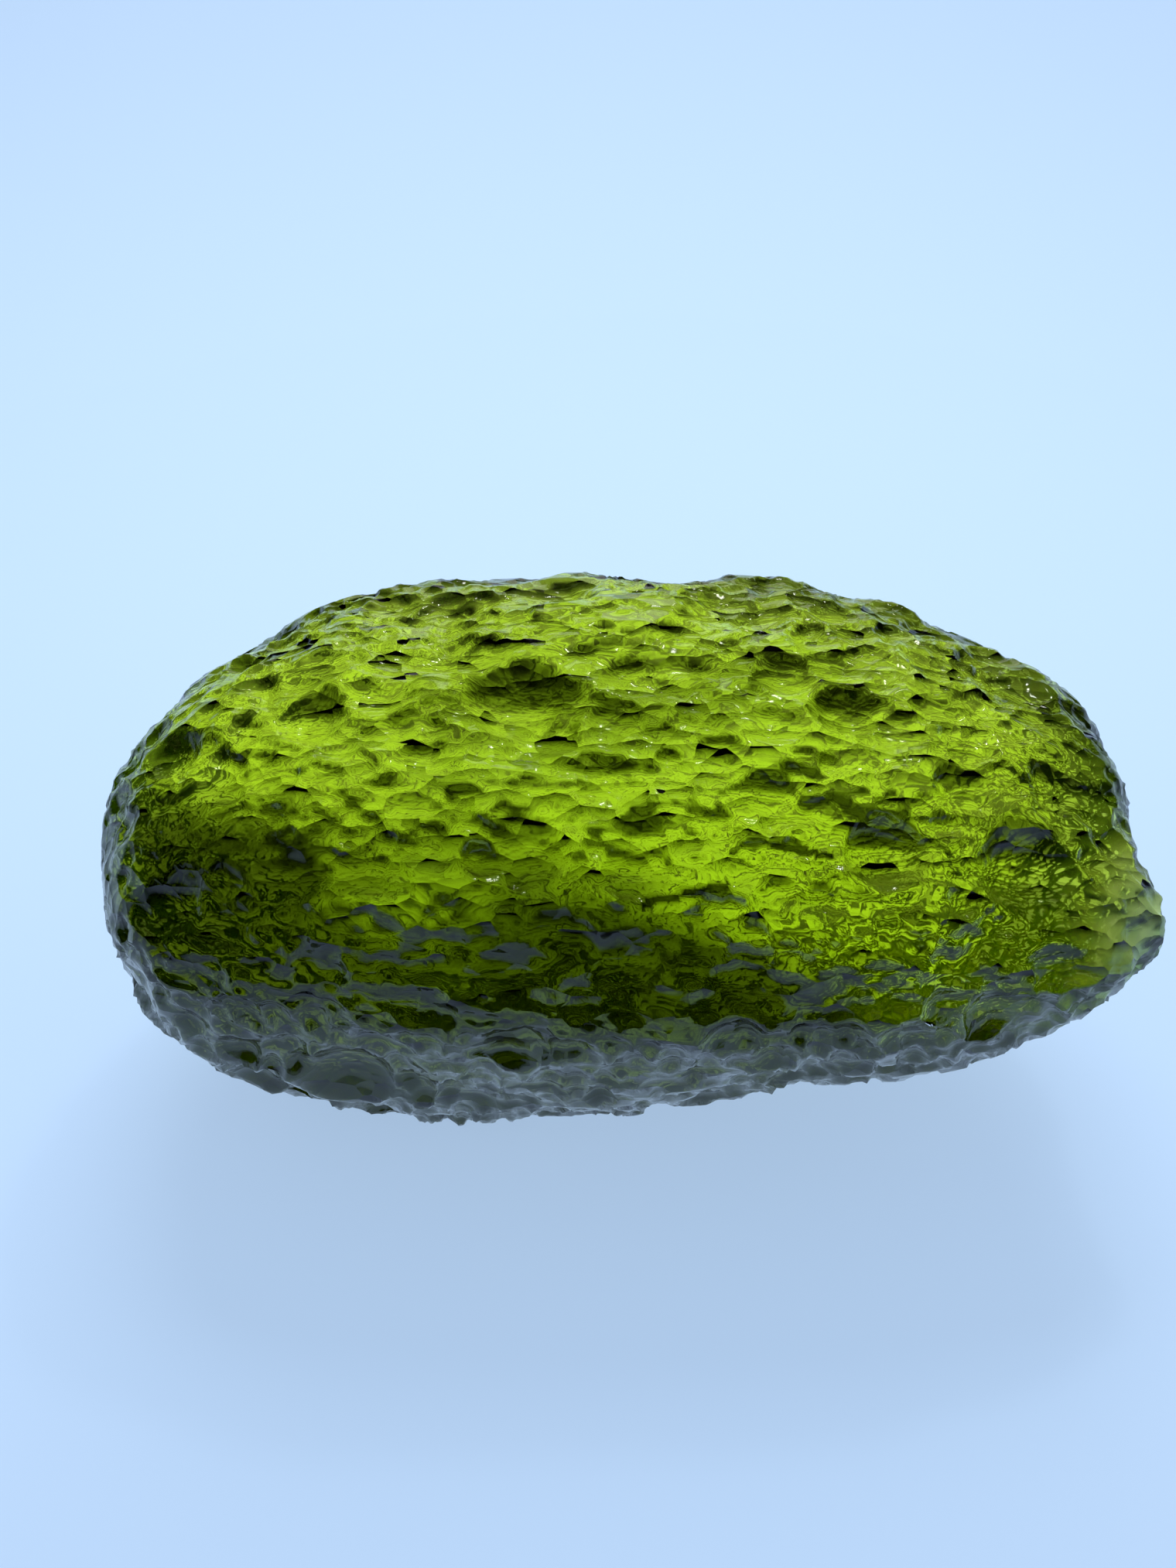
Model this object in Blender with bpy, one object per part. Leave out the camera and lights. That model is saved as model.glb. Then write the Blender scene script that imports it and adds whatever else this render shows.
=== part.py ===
"""A raw moldavite, the green glass tektite: one lopsided loaf of natural glass, lying on its belly.

It is a single solid. Its upper dome and its belly meet in a blunt ridge along the front, and the ridge ends
in a small spur at the right. The whole skin is etched with shallow round pits and with long furrows.
Units are metres, +Z is up, +X runs along the stone and -Y is the front. The origin is under its middle.
"""

import math
import random

import bmesh
import bpy
from mathutils import Matrix, Vector, kdtree, noise

MM = 0.001

# Overall form: four half-widths round an axis that runs along the stone
HALF_LENGTH = 20.0 * MM
FRONT_REACH = 11.9 * MM
BACK_REACH = 13.3 * MM
DOME_HEIGHT = 8.4 * MM
BELLY_DEPTH = 11.0 * MM
RESTING_FACET_DEPTH = 0.5 * MM

# Roundness of each stretch of skin: 2 is an ellipse, more is boxier, less is flatter
LEFT_END_ROUNDNESS = 2.5
RIGHT_END_ROUNDNESS = 2.85
FRONT_DOME_ROUNDNESS = 1.7
FRONT_BELLY_ROUNDNESS = 3.0
BACK_DOME_ROUNDNESS = 2.2
BACK_BELLY_ROUNDNESS = 2.0

# How far the front draws in below the ridge, as a share of its reach
UNDERCUT = 0.32

# The right half is slimmer than the left, its belly most of all, and the axis bows back in the middle
RIGHT_TAPER = 0.05
RIGHT_BELLY_TAPER = 0.3
AXIS_BOW = 1.8 * MM

# The spur at the right end of the ridge
SPUR_ROOT = Vector((18.4, -4.3, 0.0)) * MM
SPUR_TIP = Vector((21.4, -4.9, 0.3)) * MM
SPUR_SPREAD = 5.2 * MM
SPUR_SHARPNESS = 2.1

# The mesh: cells along the length, the width and the height, about 0.8 mm each
CELLS = (44, 26, 18)

# Lumps and furrows of the skin, as heights and as lengths of one wave, and where each pattern starts
LUMP_HEIGHT = 0.5 * MM
LUMP_LENGTH = 9.0 * MM
LUMP_START = Vector((5.5, 5.4, 3.3))
FURROW_DEPTH = 0.25 * MM
FURROW_LENGTH = 16.0 * MM
FURROW_WIDTH = 3.2 * MM
FURROW_SLANT = math.radians(-9)
FURROW_START = Vector((8.4, 2.6, 0.3))

# Hollows set by hand: place along the stone, angle up from the ridge, radius and depth, in millimetres
HOLLOWS = (
    (-16.6, 86, 1.3, 0.40),
    (-11.6, 82, 1.7, 0.40),
    (-3.4, 80, 2.3, 0.65),
    (9.2, 82, 1.6, 0.40),
    (-3.4, 47, 1.7, 0.45),
    (10.3, 45, 1.7, 0.50),
    (15.3, 41, 2.1, 0.45),
    (-12.5, 38, 1.8, 0.35),
    (3.2, 30, 1.5, 0.35),
    (-3.4, 16, 1.3, 0.30),
    (-12.8, -16, 1.4, 0.45),
    (-9.3, -17, 2.2, 0.75),
    (-8.1, 1, 1.3, 0.45),
    (-3.4, -2, 1.4, 0.45),
    (-5.6, -26, 1.5, 0.40),
    (4.6, -3, 1.4, 0.40),
    (11.4, -12, 1.3, 0.40),
    (12.3, 1, 1.3, 0.45),
    (14.6, -8, 1.6, 0.65),
    (-14.0, 132, 2.3, 0.55),
    (-6.5, 150, 2.6, 0.60),
    (2.5, 138, 2.2, 0.50),
    (9.5, 158, 2.4, 0.60),
    (16.0, 140, 1.9, 0.45),
    (-15.5, 190, 2.2, 0.50),
    (-1.0, 184, 2.5, 0.60),
    (6.5, 205, 2.2, 0.50),
    (13.5, 196, 2.0, 0.50),
    (-8.0, 222, 2.4, 0.55),
    (1.5, 238, 2.0, 0.45),
)

# Smaller pits, scattered over the skin above the resting facet
PIT_COUNT = 150
PIT_RADIUS_SMALL = 1.2 * MM
PIT_RADIUS_LARGE = 2.3 * MM
PIT_DEPTH_SHARE = 0.25
PIT_DEPTH_SPREAD = 0.3
PIT_SPACING = 0.68
PIT_SEED = 11
PIT_FREE_HEIGHT = 1.3 * MM

GLASS_GREEN = (0.16, 0.30, 0.02, 1.0)
GLASS_ROUGHNESS = 0.18
GLASS_IOR = 1.49


def rounded(angle, roundness):
    """The point at an angle on a superellipse whose two half-widths are 1."""
    across, up = math.cos(angle), math.sin(angle)
    reach = (abs(across) ** roundness + abs(up) ** roundness) ** (-1 / roundness)
    return reach * across, reach * up


def skin_point(along, around):
    """The smooth skin: along is 0 at the left end and pi at the right, around the angle up from the ridge."""
    end = LEFT_END_ROUNDNESS if along < math.pi / 2 else RIGHT_END_ROUNDNESS
    toward_left, girth = rounded(along, end)
    toward_right = -toward_left
    rightness = max(toward_right, 0.0)
    girth *= 1 - RIGHT_TAPER * rightness
    belly_depth = BELLY_DEPTH * (1 - RIGHT_BELLY_TAPER * rightness)
    is_front, is_dome = math.cos(around) > 0, math.sin(around) > 0
    if is_front:
        roundness = FRONT_DOME_ROUNDNESS if is_dome else FRONT_BELLY_ROUNDNESS
    else:
        roundness = BACK_DOME_ROUNDNESS if is_dome else BACK_BELLY_ROUNDNESS
    forward, upward = rounded(around, roundness)
    if is_front and not is_dome:
        forward *= 1 + UNDERCUT * upward
    return Vector((
        HALF_LENGTH * toward_right,
        AXIS_BOW * (1 - toward_right**2) - girth * forward * (FRONT_REACH if is_front else BACK_REACH),
        girth * upward * (DOME_HEIGHT if is_dome else belly_depth),
    ))


def angles_of(direction):
    """The two angles of skin_point for a direction from the middle of the stone."""
    along = math.acos(max(-1.0, min(1.0, -direction.x)))
    return along, math.atan2(direction.z, -direction.y)


def net():
    """A net of four-sided cells over a sphere. It comes from a cube, so that it has no poles."""
    bm = bmesh.new()
    bmesh.ops.create_cube(bm, size=2.0)
    for axis, cells in enumerate(CELLS):
        edges = [edge for edge in bm.edges if edge.verts[0].co[axis] != edge.verts[1].co[axis]]
        bmesh.ops.subdivide_edges(bm, edges=edges, cuts=cells - 1)
    for vert in bm.verts:
        vert.co = Vector([math.tan(side * math.pi / 4) for side in vert.co]).normalized()
    return bm


def with_spur(point):
    """Pulls the skin near the right end of the ridge out into the spur."""
    nearness = max(0.0, 1 - (point - SPUR_ROOT).length / SPUR_SPREAD)
    return point + (SPUR_TIP - SPUR_ROOT) * nearness**SPUR_SHARPNESS


def relief(point):
    """Height of the lumps and furrows at a point of the skin."""
    lumps = noise.noise(point / LUMP_LENGTH + LUMP_START)
    slanted = Matrix.Rotation(FURROW_SLANT, 3, "Y") @ point
    wave = Vector((slanted.x / FURROW_LENGTH, slanted.y / FURROW_WIDTH, slanted.z / FURROW_WIDTH))
    furrows = noise.noise(wave + FURROW_START)
    return LUMP_HEIGHT * lumps + FURROW_DEPTH * furrows


def hollow_depth(distance, radius, depth):
    """A shallow bowl with a firm rim: full depth in the middle and none at the radius."""
    return depth * (1 - (distance / radius) ** 2)


def carve(bm, bowls):
    """Sinks the skin by the deepest bowl at each point. Each bowl is a place, a radius and a depth."""
    tree = kdtree.KDTree(len(bm.verts))
    for vert in bm.verts:
        tree.insert(vert.co, vert.index)
    tree.balance()
    sunk = [0.0] * len(bm.verts)
    for place, radius, depth in bowls:
        for _, index, distance in tree.find_range(place, radius):
            sunk[index] = max(sunk[index], hollow_depth(distance, radius, depth))
    bm.normal_update()
    for vert in bm.verts:
        vert.co -= vert.normal * sunk[vert.index]


def along_at(place):
    """The angle along the stone at which the skin is at that place on the X axis."""
    share = place / HALF_LENGTH
    end = LEFT_END_ROUNDNESS if share < 0 else RIGHT_END_ROUNDNESS
    return math.atan2((1 - abs(share) ** end) ** (1 / end), -share)


def hand_set_bowls():
    bowls = []
    for place, angle, radius, depth in HOLLOWS:
        middle = with_spur(skin_point(along_at(place * MM), math.radians(angle)))
        bowls.append((middle, radius * MM, depth * MM))
    return bowls


def scattered_bowls(bm):
    """Pits at random above the resting facet, each with its middle outside the others."""
    dice = random.Random(PIT_SEED)
    lowest = min(vert.co.z for vert in bm.verts) + PIT_FREE_HEIGHT
    places = [vert.co.copy() for vert in bm.verts if vert.co.z > lowest]
    bowls = []
    while len(bowls) < PIT_COUNT:
        place = dice.choice(places)
        radius = PIT_RADIUS_SMALL + (PIT_RADIUS_LARGE - PIT_RADIUS_SMALL) * dice.random() ** 2
        if all((place - other).length > PIT_SPACING * (radius + width) for other, width, _ in bowls):
            depth_share = PIT_DEPTH_SHARE * dice.uniform(1 - PIT_DEPTH_SPREAD, 1 + PIT_DEPTH_SPREAD)
            bowls.append((place, radius, radius * depth_share))
    return bowls


def flatten_resting_facet(bm):
    """Wears the lowest skin to a flat facet, and sets the origin on it under the middle of the stone."""
    facet = min(vert.co.z for vert in bm.verts) + RESTING_FACET_DEPTH
    for vert in bm.verts:
        vert.co.z = max(vert.co.z, facet)
    middle = [(min(side) + max(side)) / 2 for side in zip(*(vert.co.xy for vert in bm.verts))]
    bmesh.ops.translate(bm, verts=bm.verts, vec=(-middle[0], -middle[1], -facet))


def stone_mesh():
    bm = net()
    for vert in bm.verts:
        vert.co = with_spur(skin_point(*angles_of(vert.co)))
    bm.normal_update()
    for vert in bm.verts:
        vert.co += vert.normal * relief(vert.co)
    carve(bm, hand_set_bowls() + scattered_bowls(bm))
    flatten_resting_facet(bm)
    bmesh.ops.triangulate(bm, faces=bm.faces)
    bmesh.ops.recalc_face_normals(bm, faces=bm.faces)
    mesh = bpy.data.meshes.new("moldavite")
    bm.to_mesh(mesh)
    bm.free()
    mesh.shade_smooth()
    return mesh


def green_glass():
    material = bpy.data.materials.new("green_glass")
    material.use_nodes = True
    shader = material.node_tree.nodes["Principled BSDF"]
    shader.inputs["Base Color"].default_value = GLASS_GREEN
    shader.inputs["Roughness"].default_value = GLASS_ROUGHNESS
    shader.inputs["Metallic"].default_value = 0.0
    shader.inputs["IOR"].default_value = GLASS_IOR
    return material


def main():
    for thing in list(bpy.data.objects):
        bpy.data.objects.remove(thing)
    stone = bpy.data.objects.new("moldavite", stone_mesh())
    stone.data.materials.append(green_glass())
    bpy.context.scene.collection.objects.link(stone)


main()
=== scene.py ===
import math
import random

import bmesh
import bpy
from mathutils import Matrix, Vector, kdtree, noise
from mathutils.bvhtree import BVHTree


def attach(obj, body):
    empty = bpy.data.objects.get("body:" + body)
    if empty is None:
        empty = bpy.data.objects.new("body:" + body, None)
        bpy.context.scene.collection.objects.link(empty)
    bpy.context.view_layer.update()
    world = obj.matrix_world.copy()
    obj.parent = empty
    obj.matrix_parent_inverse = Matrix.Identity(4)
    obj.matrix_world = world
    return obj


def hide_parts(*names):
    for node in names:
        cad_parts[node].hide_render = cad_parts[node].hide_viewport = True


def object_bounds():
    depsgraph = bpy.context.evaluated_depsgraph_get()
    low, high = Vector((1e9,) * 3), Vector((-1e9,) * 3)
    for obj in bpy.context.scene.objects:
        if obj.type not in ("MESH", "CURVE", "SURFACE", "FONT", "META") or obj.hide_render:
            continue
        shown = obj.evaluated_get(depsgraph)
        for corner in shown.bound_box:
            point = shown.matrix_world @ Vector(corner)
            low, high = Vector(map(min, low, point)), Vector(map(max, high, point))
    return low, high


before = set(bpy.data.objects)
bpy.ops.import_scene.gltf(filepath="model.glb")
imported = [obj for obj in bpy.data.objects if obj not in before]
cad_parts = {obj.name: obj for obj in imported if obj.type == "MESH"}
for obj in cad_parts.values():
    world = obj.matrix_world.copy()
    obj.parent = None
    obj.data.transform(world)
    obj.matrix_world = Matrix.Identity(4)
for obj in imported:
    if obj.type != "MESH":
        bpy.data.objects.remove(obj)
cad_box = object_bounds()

# The camera: a close view from the front and from 38 degrees above, like the photograph's. It comes first,
# because the stone's plainest pits are placed by the pixel at which the photograph shows them.
MM = 0.001
ELEVATION = math.radians(38)
AIM = Vector((-1.55, 1.44, 11.33))
DISTANCE = 145.6
LENS, SENSOR = 85, 36
PHOTO_WIDTH, PHOTO_HEIGHT = 1520, 2027

lens = bpy.data.cameras.new("camera")
lens.lens = LENS
lens.sensor_width = SENSOR
lens.clip_start = 0.001
camera = bpy.data.objects.new("camera", lens)
camera.location = AIM * MM + Vector((0, -math.cos(ELEVATION), math.sin(ELEVATION))) * DISTANCE * MM
camera.rotation_euler = (math.pi / 2 - ELEVATION, 0, 0)
bpy.context.scene.collection.objects.link(camera)
bpy.context.scene.camera = camera
bpy.context.scene.view_settings.view_transform = "Standard"

# The stone: one lump of green natural glass, thrown out molten, frozen in flight and etched by the ground
# it lay in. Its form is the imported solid's, rounded off so that no coarse facet shows. The etching is cut
# into it from the widest pits to the finest.
CELL_LEVELS = 2

blank = bmesh.new()
blank.from_mesh(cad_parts["moldavite"].data)
bmesh.ops.remove_doubles(blank, verts=blank.verts, dist=0.01 * MM)
bmesh.ops.join_triangles(
    blank,
    faces=blank.faces,
    angle_face_threshold=math.radians(50),
    angle_shape_threshold=math.radians(60),
)
blank_mesh = bpy.data.meshes.new("rounded_blank")
blank.to_mesh(blank_mesh)
blank.free()
rounded = bpy.data.objects.new("rounded_blank", blank_mesh)
bpy.context.scene.collection.objects.link(rounded)
subdivision = rounded.modifiers.new("rounding", "SUBSURF")
subdivision.levels = subdivision.render_levels = CELL_LEVELS
smooth_mesh = bpy.data.meshes.new_from_object(rounded.evaluated_get(bpy.context.evaluated_depsgraph_get()))
bpy.data.objects.remove(rounded)

stone = bmesh.new()
stone.from_mesh(smooth_mesh)
stone.verts.ensure_lookup_table()


def drawn_out(point, stretch):
    """A point where the long pits are round again: they run along the stone and down to the right."""
    return Vector((point.x / stretch, point.y, point.z + 0.1 * point.x))


def etch(bowls, stretch):
    """Sinks the skin by the deepest of the bowls at each point, with a crest wherever two bowls meet."""
    tree = kdtree.KDTree(len(stone.verts))
    for vert in stone.verts:
        tree.insert(drawn_out(vert.co, stretch), vert.index)
    tree.balance()
    sunk = [0.0] * len(stone.verts)
    for place, radius, depth in bowls:
        for _, index, distance in tree.find_range(drawn_out(place, stretch), radius):
            sunk[index] = max(sunk[index], depth * (1 - (distance / radius) ** 2.4))
    stone.normal_update()
    for vert in stone.verts:
        vert.co -= vert.normal * sunk[vert.index]


# The plainest pits: the photograph's pixel, the radius in millimetres and the depth as a share of that
PLAIN_PITS = (
    (316, 849, 0.85, 0.5), (225, 975, 1.10, 0.5), (319, 934, 0.79, 0.5), (401, 920, 1.46, 0.4),
    (557, 847, 0.55, 0.5), (663, 902, 1.89, 0.35), (600, 912, 0.9, 0.35), (735, 905, 1.0, 0.35),
    (677, 1100, 1.50, 0.28), (626, 1109, 0.82, 0.6), (695, 760, 1.10, 0.3), (626, 773, 0.85, 0.3),
    (1094, 918, 1.28, 0.45), (900, 845, 1.83, 0.12), (1017, 870, 1.10, 0.3), (1138, 1102, 1.43, 0.5),
    (1216, 860, 0.97, 0.4), (1322, 1122, 1.83, 0.35), (1063, 1160, 0.82, 0.6), (1010, 1150, 0.6, 0.5),
    (447, 1401, 1.83, 0.5), (484, 1355, 1.03, 0.5), (654, 1360, 1.22, 0.45), (544, 1401, 0.79, 0.5),
    (608, 1433, 1.22, 0.5), (330, 1401, 1.10, 0.5), (300, 1365, 1.03, 0.5), (654, 1259, 1.03, 0.35),
    (498, 1247, 0.61, 0.6), (1283, 1317, 1.34, 0.6), (1225, 1308, 0.91, 0.5), (949, 1344, 1.10, 0.4),
    (1172, 1347, 1.03, 0.45), (915, 1395, 0.91, 0.45), (1017, 1402, 0.91, 0.45), (1371, 1254, 0.97, 0.4),
)
PLAIN_PIT_DEEPENING = 1.25


def seen_at(x, y, skin):
    """The point of a skin that the photograph shows at a pixel."""
    through = Vector((x - PHOTO_WIDTH / 2, PHOTO_HEIGHT / 2 - y, -LENS / SENSOR * PHOTO_HEIGHT))
    return skin.ray_cast(camera.location, camera.rotation_euler.to_matrix() @ through.normalized())[0]


def patches(point):
    """Between 0 and 1: where the skin is finely pitted, and where it stays smoother."""
    return min(1.0, max(0.0, 0.55 + 1.6 * noise.noise(point / (5 * MM) + Vector((4.2, 0.3, 1.7)))))


dice = random.Random(5)


def scatter(count, small, large, share, on):
    """Pits of random size on the places given, more of them on the finely pitted patches than elsewhere."""
    bowls = []
    while len(bowls) < count:
        place = dice.choice(on)
        if dice.random() < 0.25 + patches(place):
            radius = small + (large - small) * dice.random() ** 2
            bowls.append((place, radius, radius * share * dice.uniform(0.6, 1.2)))
    return bowls


smooth_skin = BVHTree.FromBMesh(stone)
plain_bowls = [
    (seen_at(x, y, smooth_skin), radius * MM, PLAIN_PIT_DEEPENING * radius * share * MM)
    for x, y, radius, share in PLAIN_PITS
]
off_the_facet = [vert.co.copy() for vert in stone.verts if vert.co.z > 0.35 * MM]
front_belly = [place for place in off_the_facet if place.z < 10 * MM and place.y < 0]
wide_bowls = scatter(900, small=0.5 * MM, large=1.3 * MM, share=0.36, on=off_the_facet)
etch(plain_bowls + wide_bowls, stretch=1.2)
etch(scatter(1300, small=0.35 * MM, large=0.9 * MM, share=0.60, on=front_belly), stretch=0.85)
etch(scatter(6000, small=0.26 * MM, large=0.5 * MM, share=0.42, on=off_the_facet), stretch=1.1)

WRINKLE_DEPTH = 0.05
BELLY_WRINKLE_DEPTH = 0.02


def wrinkle(point):
    """The fine flow wrinkles, which run along the stone and down to the right."""
    slanted = Matrix.Rotation(math.radians(-9), 3, "Y") @ point
    wave = Vector((slanted.x / 2.4, slanted.y / 0.7, slanted.z / 0.7)) / MM
    return noise.noise(wave) + 0.5 * noise.noise(wave * 2.1)


stone.normal_update()
for vert in stone.verts:
    if vert.co.z > 0.3 * MM:
        on_front_belly = vert.co.y < 0 and vert.co.z < 10.5 * MM
        depth = BELLY_WRINKLE_DEPTH if on_front_belly else WRINKLE_DEPTH
        vert.co -= vert.normal * depth * MM * (1 + wrinkle(vert.co))
stone.normal_update()

# The stone's shade: how much light the skin lets through, with painted shade and light in it. The walls of
# the pits that turn from the side the painted light falls from, above and behind, get painted shade, the top
# gets painted light and the front's lower half painted shade; the murky clouds and the two cracks are dark
# too.
PAINTED_LIGHT_SIDE = Vector((0, 0.6, 0.8))
WALL_CONTRAST = 3.4
DARKEST_WALL = 0.15
MURK_AND_PAINTED_SHADE_STRENGTH = 0.9
SHADE_CONTRAST = 1.7
CRACKS = (((1002, 1093), (1070, 1107)), ((833, 1168), (939, 1143)))
CRACK_STEPS = 25
CRACK_REACH = 0.2 * MM
CRACK_SHADE = 0.1

stone_low, stone_high = cad_box


def ramp(value):
    """The value itself, held between 0 and 1."""
    return min(1.0, max(0.0, value))


def turn_from_light(vert):
    """How far a point turns from the side the painted light falls from, next to the smooth form: the upper
    wall of a pit does, and gets painted shade.
    """
    half = (stone_high - stone_low) / 2
    middle = (stone_high + stone_low) / 2
    outward = Vector([(vert.co[axis] - middle[axis]) / half[axis] ** 2 for axis in range(3)]).normalized()
    return (outward - vert.normal).dot(PAINTED_LIGHT_SIDE)


def murk_and_painted_shade(point):
    """The darker clouds at random in slanting bands over the stone, thinner on top as painted light, and
    painted shade along the front's lower half.
    """
    slanted = Matrix.Rotation(math.radians(-8), 3, "Y") @ point
    wave = Vector((slanted.x / 12, slanted.y / 6, slanted.z / 4)) / MM
    cloud = noise.noise(wave + Vector((7.1, 18.9, 3.4)))
    clear_height = 17 * MM - 0.42 * max(0.0, point.x)
    lowness = ramp((clear_height - point.z) / (5.5 * MM))
    frontness = ramp((2.0 * MM - point.y) / (6.0 * MM))
    topness = ramp((point.z - 14 * MM) / (4 * MM))
    return min(1.0, max(0.0, 1.4 * cloud + 0.1) * (1 - 0.4 * topness) + lowness * frontness)


etched_skin = BVHTree.FromBMesh(stone)
crack_places = []
for (start_x, start_y), (end_x, end_y) in CRACKS:
    for step in range(CRACK_STEPS + 1):
        along = step / CRACK_STEPS
        x = start_x + along * (end_x - start_x)
        y = start_y + along * (end_y - start_y)
        crack_places.append(seen_at(x, y, etched_skin))

shades = []
for vert in stone.verts:
    # Painted light on the top, painted shade on the pit walls turned from the light and on the front's lower
    # half, random darker clouds, and the dark cracks
    highness = ramp((vert.co.z - 12 * MM) / (5 * MM))
    wall_shade = min(1.0, max(DARKEST_WALL, 1.05 + 0.45 * highness - WALL_CONTRAST * turn_from_light(vert)))
    in_crack = min((vert.co - place).length for place in crack_places) < CRACK_REACH
    clearness_and_painted_shade = wall_shade * (1 - MURK_AND_PAINTED_SHADE_STRENGTH * murk_and_painted_shade(vert.co)) * (CRACK_SHADE if in_crack else 1.0)
    shades.append(clearness_and_painted_shade**SHADE_CONTRAST)

spur_tip = max(stone.verts, key=lambda vert: vert.co.x).co.copy()


def frost(point):
    """How far the skin is etched dull and pale: on the spur, and a little along the top."""
    to_spur = ramp(1.3 - (point - spur_tip).length / (4.5 * MM))
    to_top = ramp((point.z - 13 * MM) / (4 * MM))
    return max(0.55 * to_spur, 0.16 * to_top)


frosts = [frost(vert.co) for vert in stone.verts]

stone_mesh = bpy.data.meshes.new("moldavite_stone")
stone.to_mesh(stone_mesh)
stone.free()
stone_mesh.shade_smooth()
stone_mesh.attributes.new("shade", "FLOAT", "POINT").data.foreach_set("value", shades)
stone_mesh.attributes.new("frosted", "FLOAT", "POINT").data.foreach_set("value", frosts)
moldavite = bpy.data.objects.new("moldavite_stone", stone_mesh)
bpy.context.scene.collection.objects.link(moldavite)


class Value:
    """A socket of a shader node. Arithmetic on it adds Math nodes."""

    def __init__(self, nodes, socket):
        self.nodes, self.socket = nodes, socket

    def __sub__(self, other):
        return self.nodes.add("Math", {"operation": "SUBTRACT"}, self, other)

    def __rsub__(self, other):
        return self.nodes.add("Math", {"operation": "SUBTRACT"}, other, self)

    def __mul__(self, other):
        return self.nodes.add("Math", {"operation": "MULTIPLY"}, self, other)

    def __rmul__(self, other):
        return self.nodes.add("Math", {"operation": "MULTIPLY"}, other, self)


class Nodes:
    """The nodes of a material, each added by its type, its settings, and the values of its sockets."""

    def __init__(self, material):
        material.use_nodes = True
        self.tree = material.node_tree
        self.tree.nodes.clear()

    def add(self, kind, settings, *values, output=0, **named):
        node = self.tree.nodes.new("ShaderNode" + kind)
        for name, setting in settings.items():
            setattr(node, name, setting)
        for key, value in [*enumerate(values), *named.items()]:
            socket = node.inputs[key if isinstance(key, int) else key.replace("_", " ")]
            if isinstance(value, Value):
                self.tree.links.new(value.socket, socket)
            else:
                socket.default_value = value
        return Value(self, node.outputs[output]) if len(node.outputs) else node


glass = bpy.data.materials.new("moldavite_glass")
nodes = Nodes(glass)
position = nodes.add("TexCoord", {}, output="Object")

# Pits too fine for the mesh, each with painted shade toward its upper edge and painted light toward its lower
# edge
drawn = nodes.add("VectorMath", {"operation": "MULTIPLY"}, position, (0.6, 1, 1))
pit = nodes.add("TexVoronoi", {"feature": "F1"}, Vector=drawn, Scale=1300.0)
bump = nodes.add("Bump", {}, Strength=1.0, Distance=0.15 * MM, Height=pit * pit)
pit_middle = Value(nodes, pit.socket.node.outputs["Position"])
from_middle = nodes.add("VectorMath", {"operation": "SUBTRACT"}, drawn, pit_middle)
rise = nodes.add("VectorMath", {"operation": "DOT_PRODUCT"}, from_middle, (0, 800, 1000), output="Value")
tone = nodes.add("TexNoise", {}, Vector=position, Scale=500.0, Detail=2.0)
roughness = tone * 0.2
shade = nodes.add("Attribute", {"attribute_name": "shade"}, output="Fac")
# The base colour: the stone's shade, times painted shade toward each fine pit's upper edge and painted light
# toward its lower edge
tint_and_painted_shade = nodes.add("Clamp", {}, shade * (1.0 - 3.0 * tone * rise))
neutral = nodes.add("CombineColor", {}, tint_and_painted_shade, tint_and_painted_shade, tint_and_painted_shade)

# The lower skin shines, and reflects the floor
height = nodes.add("SeparateXYZ", {}, position, output="Z")
shine = nodes.add("MapRange", {}, height, 8.5 * MM, 10.5 * MM, 0.7, 0.0)
clear_glass = nodes.add(
    "BsdfPrincipled",
    {},
    Base_Color=neutral,
    IOR=1.49,
    Transmission_Weight=1.0,
    Roughness=roughness,
    Normal=bump,
    Coat_Weight=shine,
    Coat_Roughness=0.1,
)
green_depth = nodes.add("VolumeAbsorption", {}, Color=(0.935, 0.985, 0.03, 1), Density=300.0)

# Where the skin is frosted, a dull pale green covers part of the glass, bluer where the frost is thick
frost_amount = nodes.add("Attribute", {"attribute_name": "frosted"}, output="Fac")
frost_blue = nodes.add("Math", {"operation": "MAXIMUM"}, frost_amount - 0.1, 0.05)
pale_green = nodes.add("CombineColor", {}, tint_and_painted_shade * 0.62, tint_and_painted_shade * 0.85, tint_and_painted_shade * frost_blue)
dull_skin = nodes.add("BsdfPrincipled", {}, Base_Color=pale_green, Roughness=0.5, Normal=bump)
skin_surface = nodes.add("MixShader", {}, frost_amount, clear_glass, dull_skin)
nodes.add("OutputMaterial", {}, skin_surface, green_depth)
stone_mesh.materials.clear()
stone_mesh.materials.append(glass)

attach(moldavite, "root")
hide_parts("moldavite")

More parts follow.
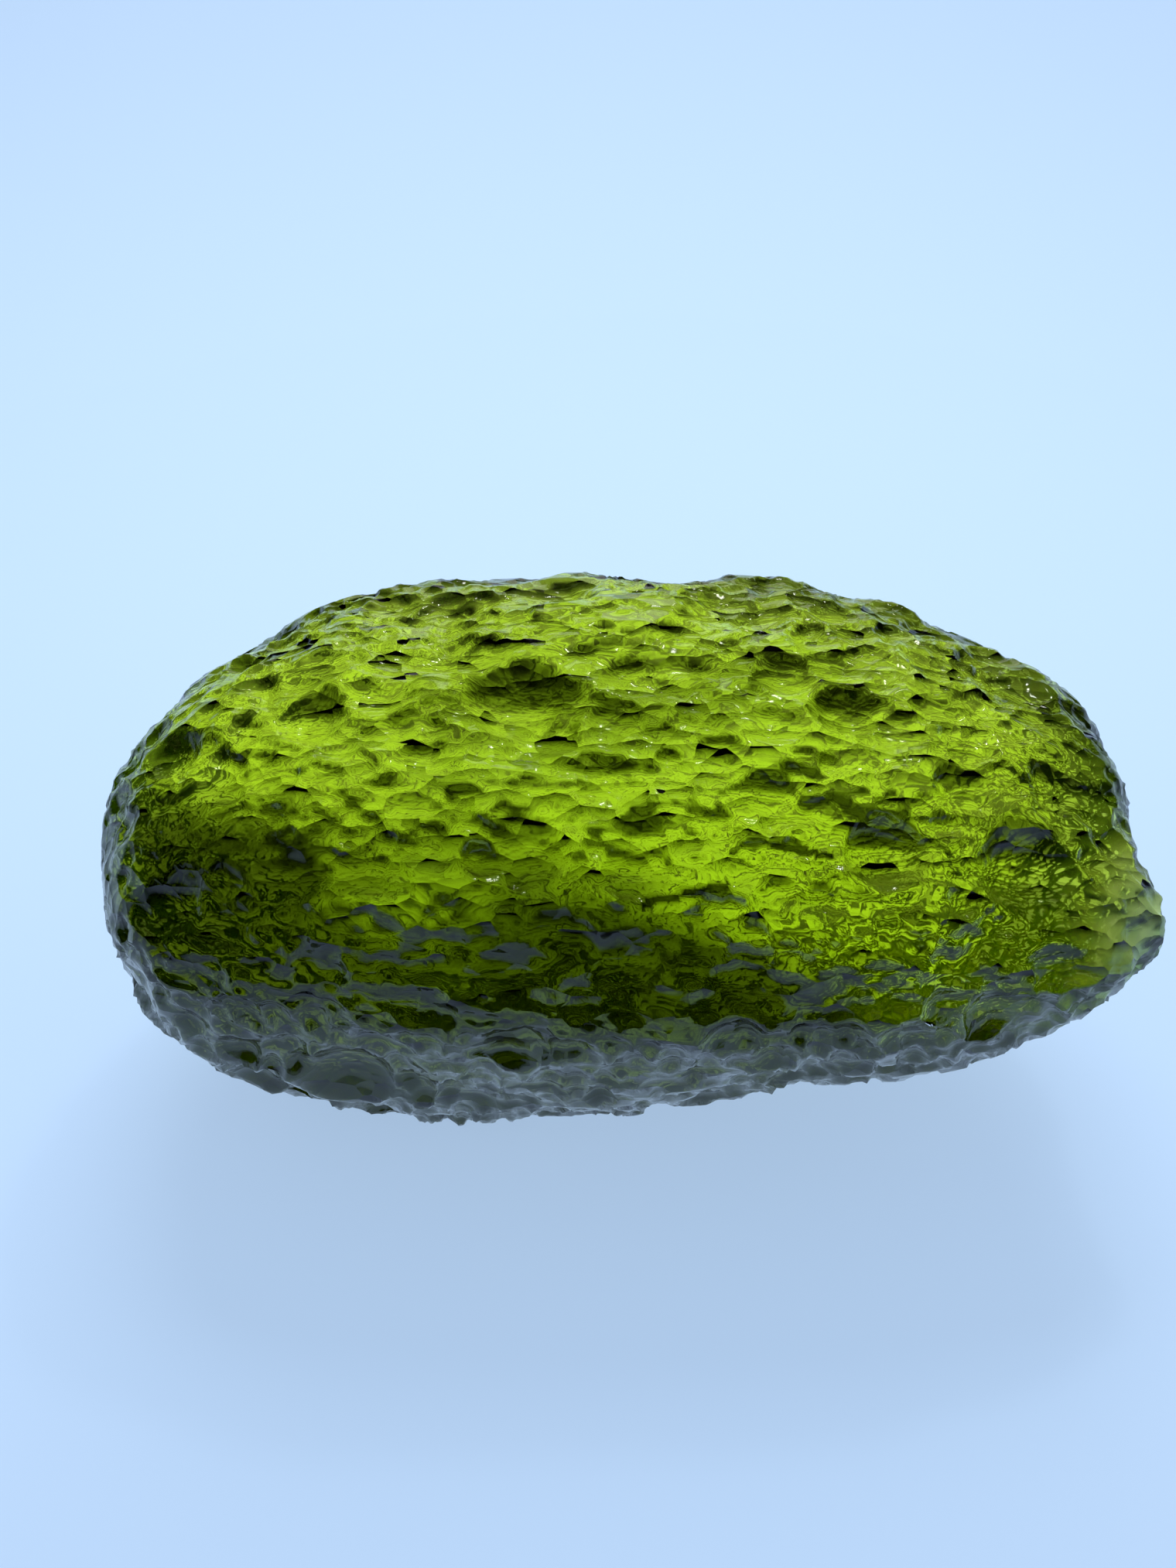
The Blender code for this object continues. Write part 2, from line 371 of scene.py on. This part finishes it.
# The floor: one plain sheet, pale blue and matt. It lies flat, and it is much larger than the stone, so
# that its edge is out of every view.
FLOOR_HALF_WIDTH = 1.5

floor_mesh = bpy.data.meshes.new("floor")
floor_shape = bmesh.new()
bmesh.ops.create_grid(floor_shape, x_segments=1, y_segments=1, size=FLOOR_HALF_WIDTH)
floor_shape.to_mesh(floor_mesh)
floor_shape.free()
floor = bpy.data.objects.new("floor", floor_mesh)
bpy.context.scene.collection.objects.link(floor)
paper = bpy.data.materials.new("pale_floor")
nodes = Nodes(paper)
matt_surface = nodes.add("BsdfPrincipled", {}, Base_Color=(0.47, 0.64, 0.88, 1), Roughness=0.7)
nodes.add("OutputMaterial", {}, matt_surface)
floor_mesh.materials.append(paper)

# The lights: round soft lamps above and behind the stone, in a pale room. The room, the top lamp and the back
# lamp stay out of the stone's reflections, where they would show as white blotches. The top lamp throws no
# shadow of the stone, so that the floor seen through the glass is bright.


def soft_light(name, place, size, watts):
    """A round lamp turned to the middle of the stone."""
    lamp = bpy.data.lights.new(name, "AREA")
    lamp.shape = "DISK"
    lamp.size = size
    lamp.energy = watts
    light = bpy.data.objects.new(name, lamp)
    light.location = place
    light.rotation_euler = (Vector((0, 0, 0.008)) - Vector(place)).to_track_quat("-Z", "Y").to_euler()
    light.visible_transmission = False
    bpy.context.scene.collection.objects.link(light)
    return light


top_light = soft_light("top_light", (0, 0.02, 0.15), 0.08, 0.19)
top_light.visible_glossy = False
floor_only = bpy.data.collections.new("floor_only")
floor_only.objects.link(floor)
top_light.light_linking.blocker_collection = floor_only
back_light = soft_light("back_light", (0, 0.25, 0.24), 0.25, 0.42)
back_light.visible_glossy = False
rim_light = soft_light("rim_light", (0, 0.50, 0.11), 0.22, 0.10)
rim_light.visible_camera = False
soft_light("sparkle_light", (0.06, 0.22, 0.26), 0.03, 0.05)

world = bpy.data.worlds.new("studio")
bpy.context.scene.world = world
world.use_nodes = True
room = world.node_tree.nodes["Background"]
room.inputs["Color"].default_value = (0.85, 0.92, 1.0, 1)
room.inputs["Strength"].default_value = 0.3
world.cycles_visibility.glossy = False
